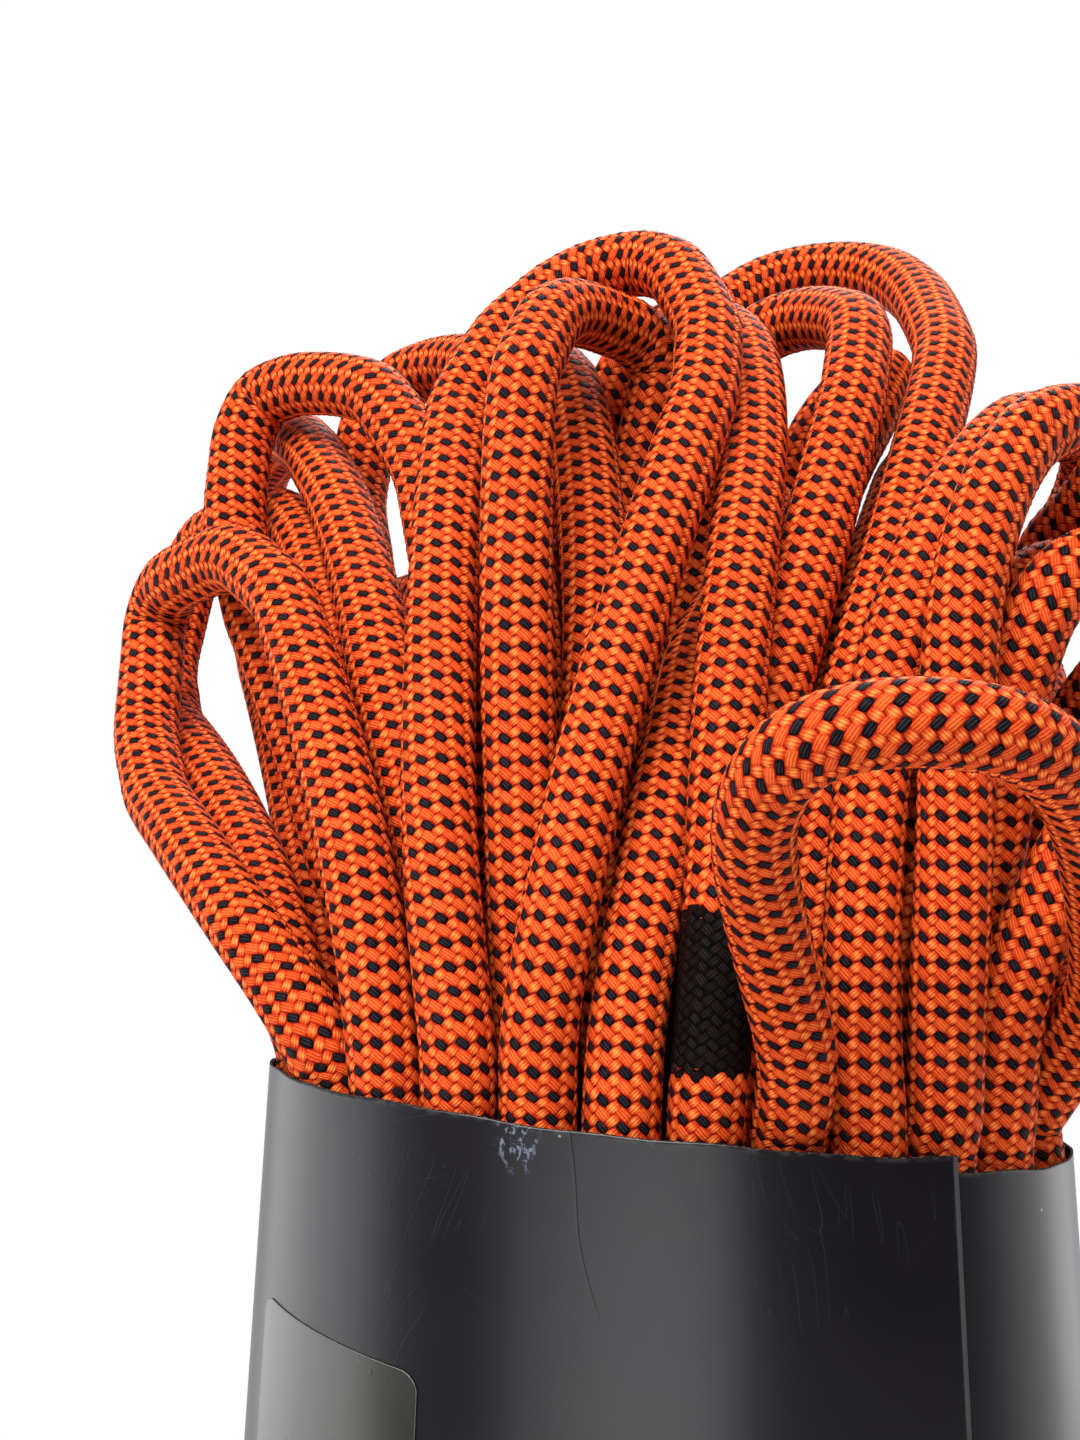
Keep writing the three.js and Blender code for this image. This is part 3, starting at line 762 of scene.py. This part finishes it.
def tip_material():
    m = Look("fused_tip")
    at = m.round_map(2)
    flow = m.noise(at, 3.0, 4.0)
    streak = m.step(m.noise(at, 5.5, 2.0), 0.52, 0.6)
    colour = m.ramp(
        flow, (0.3, (0.16, 0.02, 0.004)), (0.6, (0.42, 0.06, 0.008)), (0.8, (0.6, 0.13, 0.02))
    )
    return m.done(
        Base_Color=m.mix(colour, (0.02, 0.012, 0.01), m.mul(streak, 0.8)),
        Roughness=m.lerp(0.22, 0.4, flow),
        Normal=m.bump(flow, 0.6, 0.0004),
    )


def band_material():
    m = Look("shrink_band")
    folds = m.noise(m.round_map(0.5), 4.0, 3.0)
    return m.done(
        Base_Color=m.mix((0.75, 0.76, 0.76), (0.9, 0.9, 0.9), folds),
        Roughness=0.12,
        Alpha=m.lerp(0.12, 0.34, folds),
        Normal=m.bump(folds, 0.5, 0.0005),
    )


def drip(t, s):
    return 0.1 * np.sin(3 * t + 1) + 0.07 * np.sin(7 * t + s * 2)


def wrinkle(t, s):
    return 0.03 * np.sin(9 * t) + 0.02 * np.sin(23 * t + s)


tip_look, band_look = tip_material(), band_material()
core_look = grained("core_yarn", 1400.0, 2.0, ((0.86, 0.84, 0.78), (0.7, 0.67, 0.6)), (0.4, 0.0003))
on_rope = []
tail_steps = round(TAIL / STEP)
for end, cut, tip in (
    ("a", ROUTE[tail_steps], ROUTE[0]),
    ("b", ROUTE[-1 - tail_steps], ROUTE[-1]),
):
    axis = end_axis(cut, tip)
    long = axis[-1]
    fused = turned(f"end_{end}_fused", axis, [(r, long - s) for r, s in MELTED], drip)
    fused.data.materials.append(tip_look)
    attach(fused, "root")
    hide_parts(f"end_{end}_tip")
    rows = np.linspace(long - (FILM_FROM_TIP + FILM_LONG), long - FILM_FROM_TIP, FILM_ROWS)
    film = [(FILM_INSIDE, s) for s in rows] + [(FILM_OUTSIDE, s) for s in rows[::-1]]
    band = turned(f"end_{end}_film", axis, [*film, film[0]], wrinkle)
    band.data.materials.append(band_look)
    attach(band, "root")
    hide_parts(f"end_{end}_band")
    on_rope += [fused, band]

cad = {o.name: o for o in bpy.data.objects}
for end in "ab":
    for k in range(1, CORES + 1):
        core = cad[f"end_{end}_core_{k}"]
        core.data.materials.clear()
        core.data.materials.append(core_look)
        on_rope.append(core)

# ---------------------------------------------------------------- the card sleeve

# Degrees from the front, and millimetres
WRAP_FROM, WRAP_TO, LIFT_FROM, LIFT_TO = 12.0, 397.0, 340.0, 370.0
LAYER = 1.3  # from the inner end's face to the outer end's face
STIFF_FROM, STIFF_LIFT = 375, 0.9  # the outer end is stiff, so it lifts a little more
CARD_SHOWN = 0.42  # thickness drawn: the photograph's edges look thinner than the solid's CARD
LABEL_FROM, LABEL_TO, LABEL_TOP, LABEL_FALL, LABEL_TALL = -71.0, -35.0, -25.0, 5.6, 70.0
LABEL_CORNER, LABEL_THICK, LABEL_LIFT = 2.4, 0.14, 0.24
MAP_SIDE = 0.498  # the map's width that a sheet's face takes; its back has as much from 0.5 on
ROUNDED = 0.25  # share of a sheet's thickness that its edges are rounded by
# Millimetres of wall in a degree
ROUND = math.hypot(WIDE, DEEP) / 2 / math.sqrt(2) * math.radians(1)


def smooth_step(x, low, high):
    t = np.clip((x - low) / (high - low), 0, 1)
    return t * t * (3 - 2 * t)


def on_cone(degrees, z, out):
    theta = np.radians(degrees)
    more = (HIGH - z) * FLARE + out
    return np.stack([(WIDE / 2 + more) * np.sin(theta), -(DEEP / 2 + more) * np.cos(theta), z], -1)


def sheet(name, degrees, low, high, out, thick, rows, looks):
    """A bent sheet with rounded edges. Its face and back take the map's halves."""
    n = len(degrees)
    # Rows close to both edges keep the shading of the face even
    steps = np.r_[0, 0.0015, np.linspace(0.004, 0.996, rows - 3), 0.9985, 1]
    z = low[:, None] + (high - low)[:, None] * steps
    z[:, 0] += thick * ROUNDED
    z[:, -1] -= thick * ROUNDED
    face, back = (
        on_cone(degrees[:, None], z, np.broadcast_to(lift[:, None], z.shape))
        for lift in (out, out - thick)
    )
    # A middle row at the top and the foot rounds the cut edge
    top, foot_ = (on_cone(degrees, z_, out - thick / 2)[:, None] for z_ in (high, low))
    loop = np.concatenate([face, top, back[:, ::-1], foot_], axis=1)
    count = loop.shape[1]
    i, j = np.arange(n - 1)[:, None] * count, np.arange(count)[None, :]
    quads = np.stack([i + j, i + count + j, i + count + (j + 1) % count, i + (j + 1) % count], 2)
    faces_ = quads.reshape(-1, 4).tolist()
    faces_.append(list(range(count)))
    faces_.append(list(range((n - 1) * count, n * count))[::-1])

    along = (degrees - degrees[0]) / (degrees[-1] - degrees[0])
    up = np.r_[steps, 1.0, steps[::-1], 0.0]
    half = np.r_[np.zeros(rows + 1), 0.0, np.full(rows + 1, 0.5), 0.5]
    u = half[:, None] + MAP_SIDE * along
    u0, u1 = u[:, :-1].T, u[:, 1:].T
    v0, v1 = (np.broadcast_to(v, u0.shape) for v in (up, np.roll(up, -1)))
    uv = np.stack([np.stack(c, -1) for c in ((u0, v0), (u1, v0), (u1, v1), (u0, v1))], 2)
    ends = np.c_[np.full(count, 0.25), up]
    obj = mesh_object(name, loop, faces_, np.vstack([uv.reshape(-1, 2), ends, ends[::-1]]))
    # The strips beside both middle rows are the cut edge, and so are the sheet's ends
    edge = np.zeros((n - 1, count), int)
    edge[:, [rows, rows + 1, count - 2, count - 1]] = 1
    obj.data.polygons.foreach_set("material_index", np.r_[edge.reshape(-1), 1, 1])
    for look in looks:
        obj.data.materials.append(look)
    return obj


def streaks(m, at, u, v, angle, seed):
    """Fine scratches that run in one direction, here and there."""
    x = m.add(m.mul(u, math.cos(angle)), m.mul(v, math.sin(angle)))
    y = m.sub(m.mul(v, math.cos(angle)), m.mul(u, math.sin(angle)))
    y = m.add(y, m.mul(m.noise(at, 0.04, 1.0), 8.0))
    field = m.noise(m.vector(m.mul(x, 0.035), m.mul(y, 0.55), seed), 1.0, 0.0)
    thin = m.sub(1, m.step(m.absolute(m.sub(field, 0.56)), 0.0, 0.0035))
    return m.mul(thin, m.step(m.noise(m.vector(u, v, seed * 90), 0.045, 1.0), 0.6, 0.72))


def all_streaks(m, at, u, v, *ways):
    """Scratches in several directions, each with its seed."""
    scratch = streaks(m, at, u, v, *ways[0])
    for way in ways[1:]:
        scratch = m.math("MAXIMUM", scratch, streaks(m, at, u, v, *way))
    return scratch


CARD_SCRATCHES = ((1.45, 0.1), (0.35, 0.8), (-0.6, 1.7), (1.25, 2.9), (1.75, 3.6))
LABEL_SCRATCHES = ((0.95, 5.1), (-0.8, 6.3))
# Places on the card, in millimetres from the wrap's inner end and from the foot
SCUFFS_AT = (272.5, 278.5)
CREASE_AT, CREASE_LONG = (278.4, 280.3), 22


def scuffs(m, u, v):
    """A patch of pale scuffs under the rim."""
    du, dv = m.sub(u, SCUFFS_AT[0]), m.sub(v, SCUFFS_AT[1])
    away = m.add(m.power(m.mul(du, 0.34), 2), m.power(m.mul(dv, 0.2), 2))
    grit = m.noise(m.vector(m.mul(u, 1.5), m.mul(v, 0.7)), 0.9, 3.0, 0.7)
    return m.mul(m.sub(1, m.step(away, 0.2, 1.1)), m.step(grit, 0.52, 0.6))


def crease(m, u, v):
    """A crease that runs down from the rim in a bow. Its mask also darkens the card's colour as
    painted shade.
    """
    fall = m.mul(m.sub(CREASE_AT[1], v), 1 / CREASE_LONG)
    bow = m.add(m.mul(m.power(fall, 1.5), 3.0), m.mul(m.math("SINE", m.mul(fall, 7.0)), 0.25))
    off = m.absolute(m.sub(m.sub(u, CREASE_AT[0]), bow))
    return m.mul(m.sub(1, m.step(off, 0.0, 0.2)), m.sub(1, m.step(fall, 0.9, 1.15)))


def card_material():
    """Dark card with a soft gloss, scuffs, specks, fine scratches and one crease with painted shade
    in it.
    """
    m = Look("sleeve_card")
    u, v = m.map_uv((WRAP_TO - WRAP_FROM) * ROUND / MAP_SIDE, HIGH)  # millimetres
    at = m.vector(u, v)
    cloud = m.noise(at, 0.03, 4.0)
    fibre = m.noise(at, 2.2, 3.0, 0.6)
    scratch = all_streaks(m, at, u, v, *CARD_SCRATCHES)
    cells = m.node("ShaderNodeTexVoronoi", 0, Vector=at, Scale=0.13)
    specks = m.math("LESS_THAN", cells, m.mul(m.noise(at, 0.4, 0.0), 0.062))
    specks = m.mul(specks, m.step(m.noise(at, 0.11, 1.0), 0.42, 0.5))
    scuff, fold = scuffs(m, u, v), crease(m, u, v)
    # The cut edge wears to a paler line
    worn = m.mul(m.step(m.noise(at, 0.6, 2.0), 0.45, 0.6), 0.5)
    worn = m.mul(m.step(v, HIGH - 0.9, HIGH - 0.2), worn)
    colour = m.mix((0.0023, 0.0015, 0.0038), (0.0037, 0.0024, 0.0056), m.step(cloud, 0.35, 0.65))
    for layer, share in (
        # painted shade: the crease darkened towards black, for the shade in its fold
        ((0.001, 0.001, 0.001), m.mul(fold, 0.35)),
        ((0.035, 0.035, 0.04), m.mul(scratch, 0.4)),
        ((0.22, 0.22, 0.21), specks),
        ((0.16, 0.19, 0.27), m.mul(scuff, 0.8)),
        ((0.05, 0.045, 0.04), worn),
    ):
        colour = m.mix(colour, layer, share)
    height = m.add(m.mul(fibre, 0.05), m.add(m.mul(fold, -0.1), m.mul(scratch, -0.04)))
    height = m.add(height, m.mul(m.noise(at, 0.02, 1.0), 0.5))
    return m.done(
        Base_Color=colour,
        Roughness=m.add(m.lerp(0.3, 0.37, cloud), m.mul(scuff, 0.3)),
        Normal=m.bump(height, 0.55, 0.0003),
        Specular_IOR_Level=0.5,
    )


def edge_material():
    """The card's cut edge, with its paler core."""
    m = Look("card_edge")
    ragged = m.noise(m.vector(*m.map_uv(700.0, 700.0)), 1.3, 3.0)
    pale = m.step(ragged, 0.46, 0.7)
    return m.done(
        Base_Color=m.mix((0.005, 0.0045, 0.0045), (0.14, 0.1, 0.06), pale),
        Roughness=0.85,
        Normal=m.bump(ragged, 0.5, 0.0002),
        Specular_IOR_Level=0.15,
    )


wall = np.linspace(WRAP_FROM, WRAP_TO, 386)
# The rim is a little uneven where the rope leans on it
rim = rim_height(np.radians(wall))
rim = rim + 0.18 * np.sin(np.radians(wall) * 9 + 1) + 0.1 * np.sin(np.radians(wall) * 23)
lift = LAYER * smooth_step(wall, LIFT_FROM, LIFT_TO)
lift = lift + STIFF_LIFT * np.maximum(0, (wall - STIFF_FROM) / (WRAP_TO - STIFF_FROM)) ** 2
card_looks = [card_material(), edge_material()]
card = sheet("card_sleeve", wall, np.zeros_like(wall), rim, lift, CARD_SHOWN, 40, card_looks)
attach(card, "root")
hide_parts("sleeve")

# ---------------------------------------------------------------- the film label and the tape


def film_material():
    m = Look("label_film")
    u, v = m.map_uv((LABEL_TO - LABEL_FROM) * ROUND / MAP_SIDE, LABEL_TALL)
    at = m.vector(u, v)
    cloud = m.noise(at, 0.09, 3.0)
    scratch = all_streaks(m, at, u, v, *LABEL_SCRATCHES)
    bubble = m.node("ShaderNodeTexVoronoi", 0, Vector=at, Scale=0.3)
    bubble = m.sub(1, m.step(bubble, 0.04, 0.12))
    colour = m.mix((0.013, 0.0128, 0.0102), (0.02, 0.0194, 0.0155), m.step(cloud, 0.3, 0.7))
    return m.done(
        Base_Color=m.mix(colour, (0.3, 0.29, 0.26), m.mul(scratch, 0.5)),
        Roughness=m.lerp(0.27, 0.31, cloud),
        Normal=m.bump(m.mul(bubble, 0.25), 0.3, 0.0002),
        Specular_IOR_Level=0.68,
    )


def film_edge_material():
    m = Look("label_edge")
    # painted highlight: the film's cut edge is pale grey for the light it catches, broken up by
    # noise
    glint_noise = m.noise(m.vector(*m.map_uv(300.0, 300.0)), 1.0, 2.0)
    return m.done(
        Base_Color=m.mix((0.4, 0.39, 0.36), (0.2, 0.2, 0.18), m.step(glint_noise, 0.4, 0.6)),
        Roughness=0.35,
        Alpha=m.lerp(0.55, 0.95, glint_noise),
    )


# The label's columns, closer in its rounded corners, and how much those draw its ends in
label_wide = (LABEL_TO - LABEL_FROM) * ROUND
corner = LABEL_CORNER * (1 - np.cos(np.linspace(0, math.pi / 2, 14)))
middle = np.linspace(LABEL_CORNER, label_wide - LABEL_CORNER, 40)[1:-1]
place = np.r_[corner, middle, label_wide - corner[::-1]]
inset = np.maximum(0, LABEL_CORNER - np.minimum(place, label_wide - place))
drawn = LABEL_CORNER - np.sqrt(np.maximum(0, LABEL_CORNER**2 - inset**2))
top = HIGH + LABEL_TOP - LABEL_FALL * place / label_wide
label = sheet(
    "film_label",
    LABEL_FROM + place / ROUND,
    top - LABEL_TALL + drawn,
    top - drawn,
    np.full(len(place), LABEL_LIFT),
    LABEL_THICK,
    24,
    [film_material(), film_edge_material()],
)
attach(label, "root")
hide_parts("label")

tape = cad["seam_tape"]
tape_look = grained("seam_tape", 900.0, 3.0, ((0.6, 0.56, 0.48), (0.45, 0.42, 0.36)), (0.2, 0.0002))
tape.data.materials.clear()
tape.data.materials.append(tape_look)

# ---------------------------------------------------------------- stage and light

FLOOR_RADIUS, FADE_FROM, FADE_TO = 0.7, 0.25, 0.62
# Name, place, what it points at, size and power
LAMPS = (
    ("front", (-0.155, -1.0, 0.12), (0, 0, 0.12), (0.66, 0.34), 2.55),
    ("top", (-0.2, -0.62, 1.2), (0, 0, 0.35), (0.9, 0.7), 21.5),
    ("left", (-1.2, -0.05, 0.08), (0, 0, 0.08), (0.9, 0.4), 2.9),
    ("left_back", (-1.1, 0.62, 0.12), (0, 0, 0.12), (0.6, 0.5), 2.2),
    ("right_back", (1.1, 0.7, 0.12), (0, 0, 0.12), (0.6, 0.5), 1.5),
    ("right", (1.2, 0.2, 0.4), (0, 0, 0.3), (0.9, 1.1), 3),
    ("back", (0.2, 0.9, 1.0), (0, 0, 0.35), (0.8, 0.5), 9),
)


def floor_material():
    """Pale near the object, where its shadow falls, and pure white further out."""
    m = Look("floor")
    where = m.node("ShaderNodeTexCoord", OBJECT)
    away = m.node("ShaderNodeVectorMath", 1, {"operation": "LENGTH"}, i0=where)
    m.done(Base_Color=(0.85, 0.85, 0.85), Roughness=0.9)
    white = m.node("ShaderNodeEmission", 0, Color=(1.0, 1.0, 1.0), Strength=1.0)
    faded = m.ramp(away, (FADE_FROM, 0.0), (FADE_TO, 1.0))
    fade = m.node("ShaderNodeMixShader", 0, i0=faded, i1=m.shader.outputs[0], i2=white)
    m.tree.links.new(fade, m.tree.nodes["Material Output"].inputs["Surface"])
    return m.material


bpy.ops.mesh.primitive_circle_add(
    vertices=96, radius=FLOOR_RADIUS, fill_type="NGON", location=placed((0, 0, 0))
)
floor = bpy.context.object
floor.name = "floor"
floor.data.materials.append(floor_material())

# White to the camera; for the object, a white backdrop behind and a dim room in front
world = bpy.data.worlds.new("world")
scene.world = world
world.use_nodes = True
room = Nodes(world.node_tree)
right, back, _ = room.split(room.node("ShaderNodeTexCoord", 0))
# The room's right side stays dark further round than its left
past = room.sub(back, room.mul(room.math("MAXIMUM", right, 0.0), 0.5))
behind = room.step(past, -0.75, 0.15)
surround = room.mix((0.021, 0.021, 0.025), (0.88, 0.89, 0.92), behind)
to_camera = room.node("ShaderNodeLightPath", 0)
seen = room.mix(surround, (1.0, 1.0, 1.0), to_camera)
room.put(room.tree.nodes["Background"].inputs["Color"], seen)

for name, location, aim, size, power in LAMPS:
    data = bpy.data.lights.new(name, "AREA")
    data.shape = "RECTANGLE"
    data.size, data.size_y = size
    data.energy = power
    lamp = bpy.data.objects.new(name, data)
    scene.collection.objects.link(lamp)
    lamp.location = location
    lamp.rotation_mode = "QUATERNION"
    lamp.rotation_quaternion = (Vector(aim) - Vector(location)).to_track_quat("-Z", "Y")

scene.view_settings.view_transform = "Standard"
